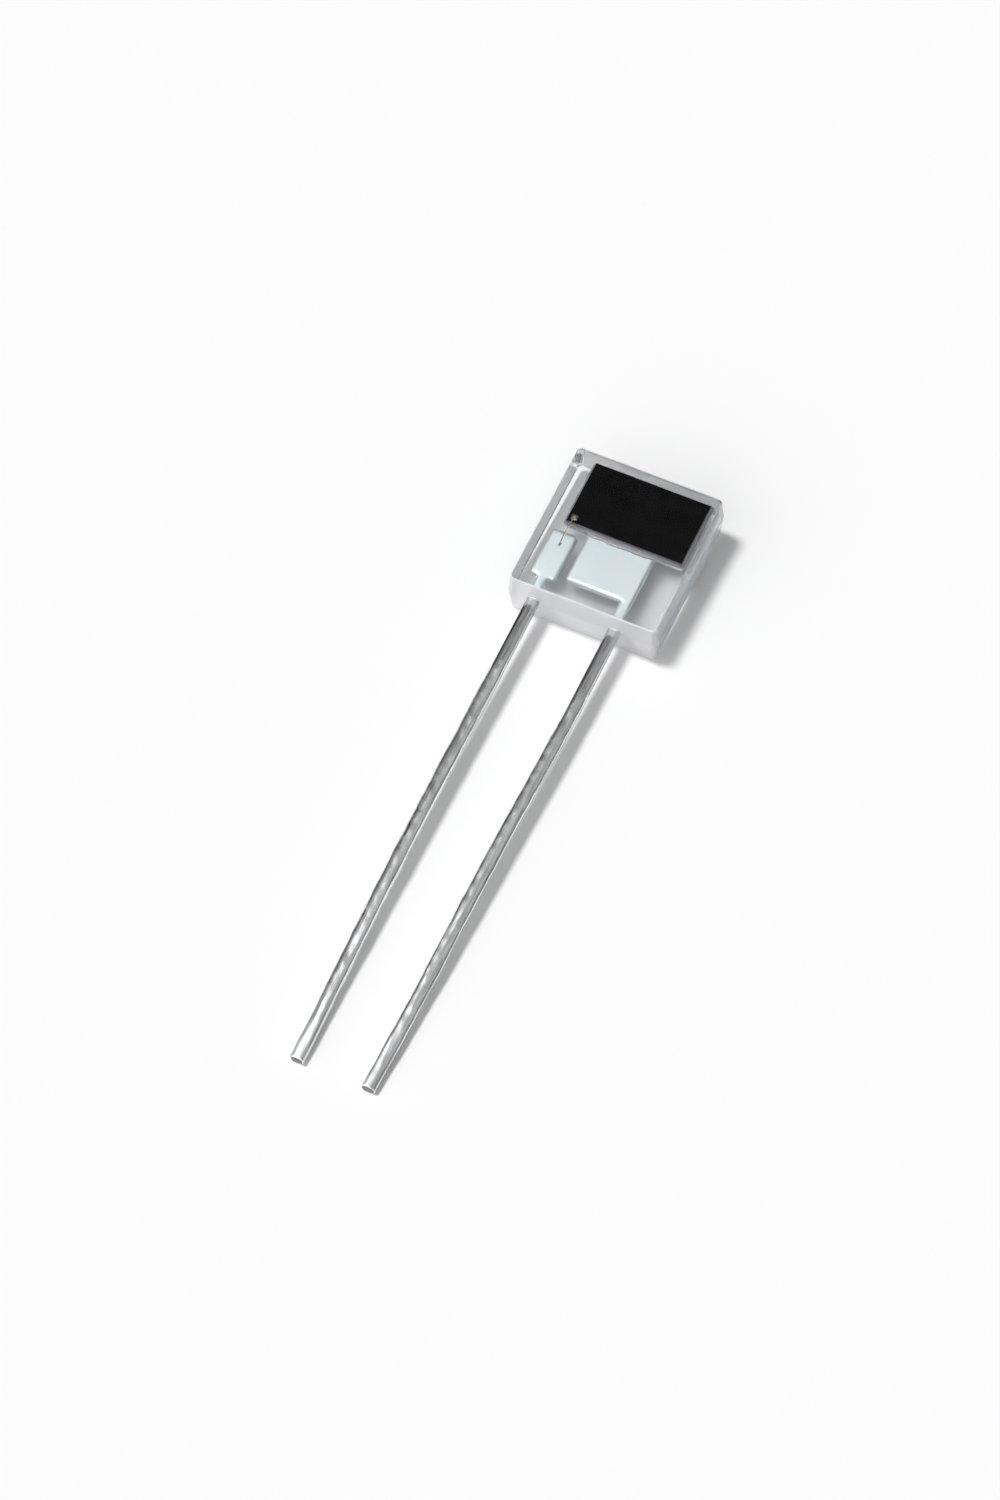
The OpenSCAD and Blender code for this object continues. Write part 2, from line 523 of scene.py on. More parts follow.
@dataclass(frozen=True)
class ClearEpoxy(Finish):
    """Water-clear moulded epoxy, with faint flow waves in its gloss and relief.

    Attributes:
        name: name of the material.
        tint: colour of the epoxy.
        gloss: least and most roughness.
        clear: share of the light that goes through. A frosted surface scatters the rest.
        bend: index of refraction.
        mirror: tint of its reflections.
        flow: the flow waves.
        relief: strength of the waves' relief, and the relief's depth in millimetres.
    """

    tint: Colour = (0.985, 0.985, 0.995, 1.0)
    gloss: Span = (0.0, 0.03)
    clear: float = 1.0
    bend: float = 1.54
    mirror: Colour = grey(0.4)
    flow: Grain = cloudy(1.6, 0.3, 0.7)
    relief: Span = (0.15, 0.01)

    def inputs(self, sheet: NodeSheet) -> dict[str, object]:
        """Finds the inputs of glass whose gloss and relief follow the flow waves.

        Args:
            sheet: nodes of the material.

        Returns:
            A value or an output for each input that the finish sets.
        """
        mask, height = self.flow.put(sheet)
        return {
            "Base_Color": self.tint,
            "Transmission_Weight": self.clear,
            "IOR": self.bend,
            "Specular_Tint": self.mirror,
            "Roughness": sheet.spread(mask, self.gloss),
            "Normal": sheet.relief(height, *self.relief),
        }


@dataclass(frozen=True)
class PlatedStrip(Finish):
    """Silver plating on stamped strip: bright where epoxy seals it, dull with rolling lines where it is bare.

    Attributes:
        name: name of the material.
        wall: place along the table of the wall that the leads leave, in metres.
        step: where the plating turns bright, from the wall, in millimetres. It starts outside the wall, so
            each leg also gets a bright collar where it leaves the body: a painted highlight.
        patches: cloudy patches inside the epoxy.
        sealed: the least and most bright colours there.
        sealed_gloss: roughness of each.
        lines: rolling lines outside the epoxy.
        bare: the least and most bright colours there.
        bare_gloss: roughness of each.
        relief: strength of the lines' relief, and the relief's depth in millimetres.
    """

    wall: float
    step: Span = (-0.04, 0.02)
    patches: Grain = cloudy(0.8, 0.35, 0.65)
    sealed: tuple[Colour, Colour] = ((0.86, 0.965, 0.99, 1.0), (0.91, 0.985, 1.0, 1.0))
    sealed_gloss: Span = (0.45, 0.52)
    lines: Grain = Grain(0.05, 1.2, 0.38, 0.62)
    bare: tuple[Colour, Colour] = ((0.52, 0.54, 0.54, 1.0), (0.70, 0.72, 0.72, 1.0))
    bare_gloss: Span = (0.14, 0.20)
    relief: Span = (0.08, 0.003)

    def inputs(self, sheet: NodeSheet) -> dict[str, object]:
        """Finds inputs of metal that change at the wall, by patches inside it and by lines outside it.

        Args:
            sheet: nodes of the material.

        Returns:
            A value or an output for each input that the finish sets.
        """
        patches, _ = self.patches.put(sheet)
        lines, height = self.lines.put(sheet)
        # The bright plating reaches a little outside the wall, which paints a highlight on each leg where it
        # leaves the body.
        inside = sheet.past(*(self.wall + place * MM for place in self.step))
        colours = sheet.colours(lines, *self.bare), sheet.colours(patches, *self.sealed)
        gloss = sheet.spread(lines, self.bare_gloss), sheet.spread(patches, self.sealed_gloss)
        return {
            "Base_Color": sheet.colours(inside, *colours),
            "Metallic": 1.0,
            "Roughness": sheet.numbers(inside, *gloss),
            "Normal": sheet.relief(height, *self.relief),
        }


@dataclass(frozen=True)
class SolderCoat(Finish):
    """Dip-tinned coat with frosty patches between brighter runs, and dull tin at the tips.

    Attributes:
        name: name of the material.
        tips: place along the table of the leads' tips, in metres.
        tip_run: length of the dull tin, in millimetres.
        tip_gloss: roughness at the tips.
        patches: the frosty patches.
        runs: the bright runs along the lead.
        ends: colours of the frosty tin and of the runs.
        gloss: roughness of each.
        relief: strength of the runs' relief, and the relief's depth in millimetres.
    """

    tips: float
    tip_run: float = 2.4
    tip_gloss: float = 0.46
    patches: Grain = cloudy(0.3, 0.4, 0.62)
    runs: Grain = Grain(0.07, 3.6, 0.42, 0.58)
    ends: tuple[Colour, Colour] = ((0.66, 0.68, 0.68, 1.0), (0.92, 0.93, 0.93, 1.0))
    gloss: Span = (0.30, 0.20)
    relief: Span = (0.6, 0.02)

    def inputs(self, sheet: NodeSheet) -> dict[str, object]:
        """Finds inputs of metal that change by patches times runs, and towards the tips.

        Args:
            sheet: nodes of the material.

        Returns:
            A value or an output for each input that the finish sets.
        """
        patches, _ = self.patches.put(sheet)
        runs, height = self.runs.put(sheet)
        gloss = sheet.spread(sheet.combine("MULTIPLY", patches, runs), self.gloss)
        from_tip = sheet.past(self.tips, self.tips + self.tip_run * MM)
        return {
            "Base_Color": sheet.colours(runs, *self.ends),
            "Metallic": 1.0,
            "Roughness": sheet.numbers(from_tip, self.tip_gloss, gloss),
            "Normal": sheet.relief(height, *self.relief),
        }


def fine_metal(name: str, dull: Colour, bright: Colour) -> CloudyFinish:
    """Fine-grained metal between two colours."""
    grain = cloudy(0.03, 0.35, 0.65)
    return CloudyFinish(name, grain, (dull, bright), gloss=(0.2, 0.36), metal=1.0, relief=(0.2, 0.002))


WHITE_TABLE = CloudyFinish(
    "white_table", cloudy(20.0, 0.3, 0.7), (grey(0.925), grey(0.935)), gloss=1.0, shine=0.0
)
CLEAR_EPOXY = ClearEpoxy("clear_epoxy")
MATT_LEAD_WALL = ClearEpoxy(
    "matt_epoxy_wall", tint=(0.975, 0.955, 0.985, 1.0), gloss=(0.25, 0.4), clear=0.45
)
FROSTED_RIGHT_WALL = ClearEpoxy(
    "frosted_epoxy_wall", tint=(0.95, 0.935, 0.97, 1.0), gloss=(0.05, 0.12), clear=0.7
)
MATT_FAR_WALL = ClearEpoxy(
    "matt_epoxy_end", tint=(0.985, 0.98, 0.99, 1.0), gloss=(0.7, 0.85), clear=0.92
)
# The cut face's dark brown is partly the bare metal of the cut and partly painted shade, for an end that
# faces sideways away from the steep lamp.
SHADED_CUT_END = fine_metal("cut_end", (0.13, 0.115, 0.1, 1.0), (0.26, 0.235, 0.215, 1.0))
CHIP_WINDOW = CloudyFinish(
    "chip_window", cloudy(0.7, 0.4, 0.65), (grey(0.001), (0.004, 0.004, 0.006, 1.0)),
    gloss=(0.12, 0.2), shine=0.03,
)
SAWN_SILICON = CloudyFinish(
    "sawn_silicon", cloudy(0.05, 0.35, 0.65), ((0.16, 0.15, 0.17, 1.0), (0.36, 0.34, 0.38, 1.0)),
    gloss=(0.4, 0.6), metal=0.4, relief=(0.4, 0.006),
)
CONTACT_METAL = fine_metal("contact_metal", grey(0.16), grey(0.26))
SILVER_PASTE = CloudyFinish(
    "silver_paste", cloudy(0.02, 0.45, 0.6), ((0.34, 0.33, 0.36, 1.0), (0.66, 0.66, 0.68, 1.0)),
    gloss=0.45, metal=(0.2, 0.8), relief=(0.5, 0.006),
)
GOLD = fine_metal("gold", (0.55, 0.43, 0.24, 1.0), (0.8, 0.66, 0.42, 1.0))


def make_piece(
    name: str, node: str, shells: list[Shell], finishes: Materials, lying: LyingFrame
) -> None:
    """Args:
        name: name of the piece.
        node: CAD node that it stands for.
        shells: its surfaces, in millimetres of the drawing.
        finishes: materials, by the shells' finish numbers.
        lying: the frame that puts the drawing on the table.
    """
    starts = np.cumsum([0] + [len(shell.points) for shell in shells])
    points = lying.place(np.concatenate([shell.points for shell in shells]))
    faces: list[list[int]] = []
    slots: list[int] = []
    for shell, start in zip(shells, starts):
        for block, finish in zip(shell.faces, shell.finishes):
            faces += (block + start).tolist()
            slots += [finish] * len(block)
    mesh = bpy.data.meshes.new(name)
    mesh.from_pydata(points.tolist(), [], faces)
    for material in finishes:
        mesh.materials.append(material)
    mesh.polygons.foreach_set("material_index", np.array(slots, np.int32))
    mesh.polygons.foreach_set("use_smooth", np.ones(len(faces), bool))
    mesh.update()
    piece = bpy.data.objects.new(name, mesh)
    bpy.context.scene.collection.objects.link(piece)
    weighted = piece.modifiers.new("weighted_normals", "WEIGHTED_NORMAL")
    weighted.keep_sharp = True
    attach(piece, "root")
    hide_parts(node)
    LOG.info("%s: %d points, %d faces", name, len(points), len(faces))


@dataclass
class EpoxyBody:
    """Moulded block with drafted walls that meet at the parting line, where it is widest and longest.

    Attributes:
        width: size across the leads at the parting line.
        length: size along the leads at the parting line.
        thickness: distance from the back face to the window.
        parting: height of the parting line.
        draft: slope of the walls, in degrees.
        back_corner: radius of the upright corners at the back face.
        edge: radius of the edges of both faces.
        flash: how far the flash ridge stands out at the parting line.
        ridge: half the ridge's height.
        arc_steps: steps in each arc.
    """

    width: float = 4.7
    length: float = 5.0
    thickness: float = 1.6
    parting: float = 0.9
    draft: float = 5.0
    back_corner: float = 0.12
    edge: float = 0.045
    flash: float = 0.006
    ridge: float = 0.015
    arc_steps: int = 6

    def profile(self) -> Profile:
        """Wall from the back face to the window, with a flash ridge at the parting line between two drafts.

        An edge arc touches the face and the drafted wall, so its centre is inside the wall's end by its
        radius times one less the draft's sine, over the draft's cosine.

        Returns:
            The offsets from the parting line's outline, and the heights.
        """
        draft = math.radians(self.draft)
        back = -self.parting * math.tan(draft)
        front = -(self.thickness - self.parting) * math.tan(draft)
        inside = self.edge * (1 - math.sin(draft)) / math.cos(draft)
        low = np.linspace(-QUARTER, -draft, self.arc_steps + 1)
        high = np.linspace(draft, QUARTER, self.arc_steps + 1)
        slope = self.ridge * math.tan(draft)
        offsets = np.concatenate([
            back - inside + self.edge * np.cos(low),
            [-slope, self.flash, -slope],
            front - inside + self.edge * np.cos(high),
        ])
        heights = np.concatenate([
            self.edge + self.edge * np.sin(low),
            [self.parting - self.ridge, self.parting, self.parting + self.ridge],
            self.thickness - self.edge + self.edge * np.sin(high),
        ])
        return offsets, heights

    def shell(self) -> Shell:
        """Rounded rectangles stacked by the wall's profile, each corner as far out as its walls.

        A ring has each corner's steps and the wall after it in turn: far, left, lead and right wall.

        Returns:
            The closed block, with finish 1 on the wall that the leads leave and its corners, 2 on the right
            wall, 3 on the far wall and 0 on the rest.
        """
        corner = self.back_corner + self.parting * math.tan(math.radians(self.draft))
        middle = np.array([0, self.length / 2])
        rings = plate((self.width, self.length), middle, corner, self.profile(), self.arc_steps)
        block = Shell.from_rings(rings)
        sides = block.faces[0].reshape(len(rings) - 1, -1, 4)
        turn = self.arc_steps + 1
        lead_wall, right_wall, far_wall = np.arange(2 * turn, 4 * turn - 1), [4 * turn - 1], [turn - 1]
        walls = [lead_wall, right_wall, far_wall]
        others = np.delete(sides, np.concatenate(walls), axis=1)
        parts = [others, *(sides[:, wall] for wall in walls)]
        block.faces = [*(part.reshape(-1, 4) for part in parts), *block.faces[1:]]
        block.finishes = [0, 1, 2, 3, 0, 0]
        return block

    def build(self, lying: LyingFrame, finishes: Materials) -> None:
        """Builds and dresses the block."""
        make_piece("clear_body", "epoxy_body", [self.shell()], finishes, lying)


@dataclass
class Lead:
    """Half of the stamped frame with its dip-tinned leg.

    Attributes:
        name: name of the piece.
        node: CAD node that it stands for.
        x: middle of the leg where it leaves the body.
        side: which way the leg leans.
        inner: corners of the part inside the body, anticlockwise from the leg's right side to its left side.
        inner_radii: a radius for each of those corners.
        seed: number that picks the coat's lumps.
        bow: how far the leg bows to the right, in a half wave and in a wave and a half.
        twist: how far the coated leg is turned to the right, in degrees.
        twist_run: distance over which it turns.
        arch: how far the coated leg rises in its middle.
        width: width of the strip.
        thickness: thickness of the strip.
        middle: height of the strip's middle.
        lean: how far the leg leans, in degrees.
        length: length of the leg from the body.
        bare: length of the leg before the coat.
        overlap: how far the strip goes on under the coat.
        root_radius: radius where the leg starts to lean.
        end_radius: radius of the strip's end corners.
        strip_edge: how far the strip's rounded edges come in over its faces, and how far down its sides.
        coat: thickness of the coat.
        feather: thickness of the coat at the dip line.
        dip_run: distance over which the coat grows.
        coat_edge: corner radius of the coated leg.
        most_edge: the most that this radius may be, as a share of half the width.
        coat_squash: how much flatter than a circle each corner is.
        tip_round: length of the rounded end.
        tip_full: how far the end draws in, where 1 is as far as it is long.
        lump: height of the coat's lumps.
        waves: longest and shortest wave of the lumps.
        stations: sections along the coated leg, up to its rounded end.
        arc_steps: steps in each arc of the strip and in the rounded end.
        coat_steps: steps in each corner of the coat.
    """

    name: str
    node: str
    x: float
    side: Side
    inner: Array
    inner_radii: Array
    seed: int
    bow: Span
    twist: float
    twist_run: float = 1.5
    arch: float = 0.12
    width: float = 0.36
    thickness: float = 0.30
    middle: float = 0.90
    lean: float = 0.75
    length: float = 16.0
    bare: float = 2.2
    overlap: float = 0.4
    root_radius: float = 0.5
    end_radius: float = 0.13
    strip_edge: Span = (0.12, 0.05)
    coat: float = 0.025
    feather: float = 0.004
    dip_run: float = 0.35
    coat_edge: float = 0.19
    most_edge: float = 0.94
    coat_squash: float = 1.8
    tip_round: float = 0.04
    tip_full: float = 0.98
    lump: float = 0.009
    waves: Span = (3.2, 0.45)
    stations: int = 420
    arc_steps: int = 6
    coat_steps: int = 8

    def shift(self, distance: Array | float) -> Array | float:
        """How far the leg has moved across, by its lean and its two bows.

        Args:
            distance: distance from the body.

        Returns:
            The move to the right.
        """
        turn = math.pi * distance / self.length
        wave = self.bow[0] * np.sin(turn) + self.bow[1] * np.sin(3 * turn)
        return self.side.value * math.tan(math.radians(self.lean)) * distance + wave

    def strip(self) -> Shell:
        """The stamped strip: its outline with rounded corners, stacked with rounded edges.

        Returns:
            The closed strip, from its pad or post to a little way under the coat.
        """
        end = self.bare + self.overlap
        across = self.shift(end)
        left, right = self.x - self.width / 2, self.x + self.width / 2
        foot = np.array([[left, 0.0], [left + across, -end], [right + across, -end], [right, 0.0]])
        foot_radii = [self.root_radius, self.end_radius, self.end_radius, self.root_radius]
        radii = np.concatenate([foot_radii, self.inner_radii])
        outline = filleted_outline(np.concatenate([foot, self.inner]), radii, self.arc_steps)
        low, high = self.middle - self.thickness / 2, self.middle + self.thickness / 2
        profile = round_edges(low, high, self.strip_edge, self.arc_steps)
        return Shell.from_rings(offset_rings(outline, *profile))

    def coated(self) -> Shell:
        """The tinned leg: a rounded rectangle carried along the leaning leg.

        The coat grows from a feather edge at the dip line, swells and thins by a ripple, turns to its twist,
        and rises in the middle by a sine squared. Its end is rounded by a quarter ellipse.

        Returns:
            The closed leg, with finish 1 on the coat and 2 on the cut end, whose dark colour is partly
            painted shade.
        """
        tip = self.length - self.tip_round
        bend = np.sin(np.linspace(0, QUARTER, self.arc_steps + 1)[1:])
        run = np.linspace(self.bare, tip, self.stations)
        run = np.append(run, self.length - self.tip_round * (1 - bend))
        dipped = run - self.bare
        grown = 1 - np.exp(-dipped / self.dip_run)
        coat = self.feather + (self.coat - self.feather) * grown
        near_end = np.clip((run - tip) / self.tip_round, 0, 1)
        shrink = self.tip_round * (1 - np.sqrt(1 - near_end**2 * self.tip_full))
        half_width = self.width / 2 + coat - shrink
        half_height = self.thickness / 2 + coat - shrink
        radius = np.minimum(self.coat_edge, half_width * self.most_edge)
        section = rounded_rectangles(half_width, half_height * self.coat_squash, radius, self.coat_steps)
        section = section / [1, self.coat_squash]
        angle = np.arctan2(section[..., 1], section[..., 0])
        wave = ripple(np.broadcast_to(run[:, None], angle.shape), angle, self.seed, self.waves)
        section = section * (1 + self.lump * wave * grown[:, None] / half_height[:, None])[..., None]
        wide, tall = section[..., 0], section[..., 1]
        turn = np.radians(self.twist) * (1 - np.exp(-dipped / self.twist_run))[:, None]
        rise = self.arch * np.sin(math.pi * dipped / (self.length - self.bare))[:, None] ** 2
        x = self.x + self.shift(run)[:, None] + wide * np.cos(turn) + tall * np.sin(turn)
        y = np.broadcast_to(-run[:, None], x.shape)
        z = self.middle + rise + tall * np.cos(turn) - wide * np.sin(turn)
        return Shell.from_rings(np.stack([x, y, z], -1), 1, 2)

    def build(self, lying: LyingFrame, finishes: Materials) -> None:
        """Builds the lead and dresses its strip, its coat and its cut end."""
        make_piece(self.name, self.node, [self.strip(), self.coated()], finishes, lying)


@dataclass
class LeadFrame:
    """The two leads: one with the chip's pad on a wide neck, the other with the bond post.

    Attributes:
        half_width: half the width of a leg.
        right_x: middle of the right leg.
        left_x: middle of the left leg.
        neck: left and right side of the neck, and where it starts.
        pad: left, right, near and far side of the chip's pad.
        post: left, right, near and far side of the bond post.
        stamp: radius of the outer corners.
        inner_stamp: radius of the inner corners.
    """

    half_width: float = 0.18
    right_x: float = 1.03
    left_x: float = -1.51
    neck: tuple[float, float, float] = (-0.89, 1.21, 0.84)
    pad: tuple[float, float, float, float] = (-1.71, 2.07, 2.52, 4.80)
    post: tuple[float, float, float, float] = (-1.91, -1.11, 0.66, 2.30)
    stamp: float = 0.13
    inner_stamp: float = 0.05

    def cathode(self) -> Lead:
        """The right lead, whose right side runs straight up the neck into the pad.

        Returns:
            The lead.
        """
        left, right, rise = self.neck
        pad_left, pad_right, near, far = self.pad
        inner = np.array([
            [right, near], [pad_right, near], [pad_right, far], [pad_left, far], [pad_left, near],
            [left, near], [left, rise], [self.right_x - self.half_width, rise],
        ])
        soft, small = self.stamp, self.inner_stamp
        radii = np.array([small, soft, soft, soft, soft, small, soft, small])
        return Lead(
            "cathode_leg", "cathode_lead", self.right_x, Side.TOWARDS_LEFT, inner, radii,
            seed=3, bow=(0.045, 0.02), twist=8.0,
        )

    def anode(self) -> Lead:
        """The left lead with its bond post.

        Returns:
            The lead.
        """
        left, right, near, far = self.post
        leg_left, leg_right = self.left_x - self.half_width, self.left_x + self.half_width
        inner = np.array([
            [leg_right, near], [right, near], [right, far], [left, far], [left, near], [leg_left, near],
        ])
        soft, small = self.stamp, self.inner_stamp
        radii = np.array([small, soft, soft, soft, soft, small])
        return Lead(
            "anode_leg", "anode_lead", self.left_x, Side.TOWARDS_RIGHT, inner, radii,
            seed=8, bow=(-0.04, 0.0), twist=-6.0, lean=0.62,
        )


@dataclass
class Chip:
    """The photodiode chip with its bond pad, and the adhesive under it.

    Attributes:
        left: X of its left side.
        right: X of its right side.
        near: Y of its near side.
        far: Y of its far side.
        back: Z of its back.
        front: Z of its sensitive face.
        edge: size of its rounded edges.
        corner: radius of its corners.
        border: width of the border round the sensitive face.
        pad: side of the square bond pad.
        pad_inset: distance from the left and near sides to the bond pad's middle.
        pad_rise: how far the bond pad stands out.
        pad_edge: size of the bond pad's rounded edges, and how far it is sunk in the chip.
        pad_corner: radius of the bond pad's corners.
        paste_spread: how far the adhesive spreads at its foot.
        paste_climb: how far the adhesive climbs.
        paste_base: Z of the adhesive's foot.
        paste_gap: how far the adhesive's top stands off the chip.
        paste_corner: radius of the adhesive's corners at the chip.
        paste_lump: how uneven the foot is, as a share of the distance from the middle.
        paste_waves: longest and shortest wave of the foot.
        paste_turn: length that stands for one radian round the chip in those waves.
        paste_seed: number that picks the waves.
        squeeze: how far the adhesive is squeezed out over the neck, drawn wide so that its grey band also
            stands for painted shade below the chip.
        squeeze_wave: how uneven the squeezed edge is.
        neck: X of the neck's two sides.
        neck_step: softness of the step at each side of the neck.
        near_reach: how far behind the near side a point still counts as being on it.
        edge_steps: steps in each rounded edge.
        corner_steps: steps in each corner of the chip.
        pad_steps: steps in each corner of the bond pad.
        paste_steps: steps up the adhesive.
        paste_points: points round the adhesive.
    """

    left: float = -1.65
    right: float = 2.01
    near: float = 2.58
    far: float = 4.74
    back: float = 1.08
    front: float = 1.28
    edge: float = 0.008
    corner: float = 0.02
    border: float = 0.015
    pad: float = 0.2
    pad_inset: float = 0.2
    pad_rise: float = 0.003
    pad_edge: float = 0.002
    pad_corner: float = 0.05
    paste_spread: float = 0.07
    paste_climb: float = 0.11
    paste_base: float = 1.05
    paste_gap: float = 0.002
    paste_corner: float = 0.03
    paste_lump: float = 0.008
    paste_waves: Span = (3.0, 0.5)
    paste_turn: float = 3.0
    paste_seed: int = 5
    squeeze: float = 0.09
    squeeze_wave: float = 0.25
    neck: Span = (-0.85, 1.17)
    neck_step: float = 0.04
    near_reach: float = 0.01
    edge_steps: int = 2
    corner_steps: int = 5
    pad_steps: int = 4
    paste_steps: int = 7
    paste_points: int = 320

    def centre(self) -> Array:
        """Middle of the chip."""
        return np.array([(self.left + self.right) / 2, (self.near + self.far) / 2])

    def slab(self, corner: float, offsets: Array, heights: Array) -> Array:
        """Stacks the chip's rectangle by its offsets and heights."""
        size = (self.right - self.left, self.far - self.near)
        return plate(size, self.centre(), corner, (offsets, heights), self.corner_steps)

    def die(self) -> Shell:
        """The sawn slab, with a border round the sensitive face that lies in the same plane.

        Returns:
            The closed slab, with finish 0 on the sensitive face and 1 on the rest.
        """
        offsets, heights = round_edges(self.back, self.front, (self.edge, self.edge), self.edge_steps)
        offsets = np.append(offsets, [-self.border])
        heights = np.append(heights, [self.front])
        return Shell.from_rings(self.slab(self.corner, offsets, heights), 1, 0)

    def bond_pad(self) -> Shell:
        """The thin square contact at the corner by the bond post.

        Returns:
            The closed contact, with finish 2.
        """
        low, high = self.front - self.pad_edge, self.front + self.pad_rise
        profile = round_edges(low, high, (self.pad_edge, self.pad_edge), self.edge_steps)
        place = np.array([self.left + self.pad_inset, self.near + self.pad_inset])
        rings = plate((self.pad, self.pad), place, self.pad_corner, profile, self.pad_steps)
        return Shell.from_rings(rings, 2)

    def paste(self) -> Shell:
        """The adhesive's fillet: a hollow quarter curve from the pad up the chip's sides.

        Its foot is uneven round the chip by a ripple, and on the near side it is squeezed out over the neck,
        by a soft step at each side of the neck. That strip is drawn wide: its grey band is partly real
        adhesive and partly painted shade below the chip.

        Returns:
            The closed fillet.
        """
        angle = np.linspace(0, QUARTER, self.paste_steps + 1)
        spread = 1 - np.sin(angle)
        heights = self.paste_base + self.paste_climb * (1 - np.cos(angle))
        rings = self.slab(self.paste_corner, self.paste_spread * spread + self.paste_gap, heights)
        rings = np.stack([evenly_spaced(ring, self.paste_points) for ring in rings])
        away = rings[..., :2] - self.centre()
        turn = np.arctan2(away[..., 1], away[..., 0])
        wave = ripple(self.paste_turn * turn, turn, self.paste_seed, self.paste_waves)
        rings[..., :2] += away * (self.paste_lump * wave * spread[:, None])[..., None]
        steps = [1 / (1 + np.exp((side - rings[..., 0]) / self.neck_step)) for side in self.neck]
        near_side = rings[..., 1] < self.near + self.near_reach
        # The strip squeezed out over the neck is partly real adhesive and partly a painted shade band below
        # the chip's near edge.
        squeezed_and_shade = (steps[0] - steps[1]) * self.squeeze * (1 + self.squeeze_wave * wave)
        rings[..., 1] -= near_side * squeezed_and_shade * spread[:, None]
        return Shell.from_rings(rings)

    def build(
        self, lying: LyingFrame, finishes: Materials, glue: Materials
    ) -> None:
        """Builds and dresses the chip and its adhesive.

        Args:
            lying: the frame that puts the drawing on the table.
            finishes: materials of the sensitive face, the sawn sides and the bond pad.
            glue: material of the adhesive.
        """
        shells = [self.die(), self.bond_pad()]
        make_piece("chip", "photodiode_chip", shells, finishes, lying)
        make_piece("chip_paste", "chip_adhesive", [self.paste()], glue, lying)


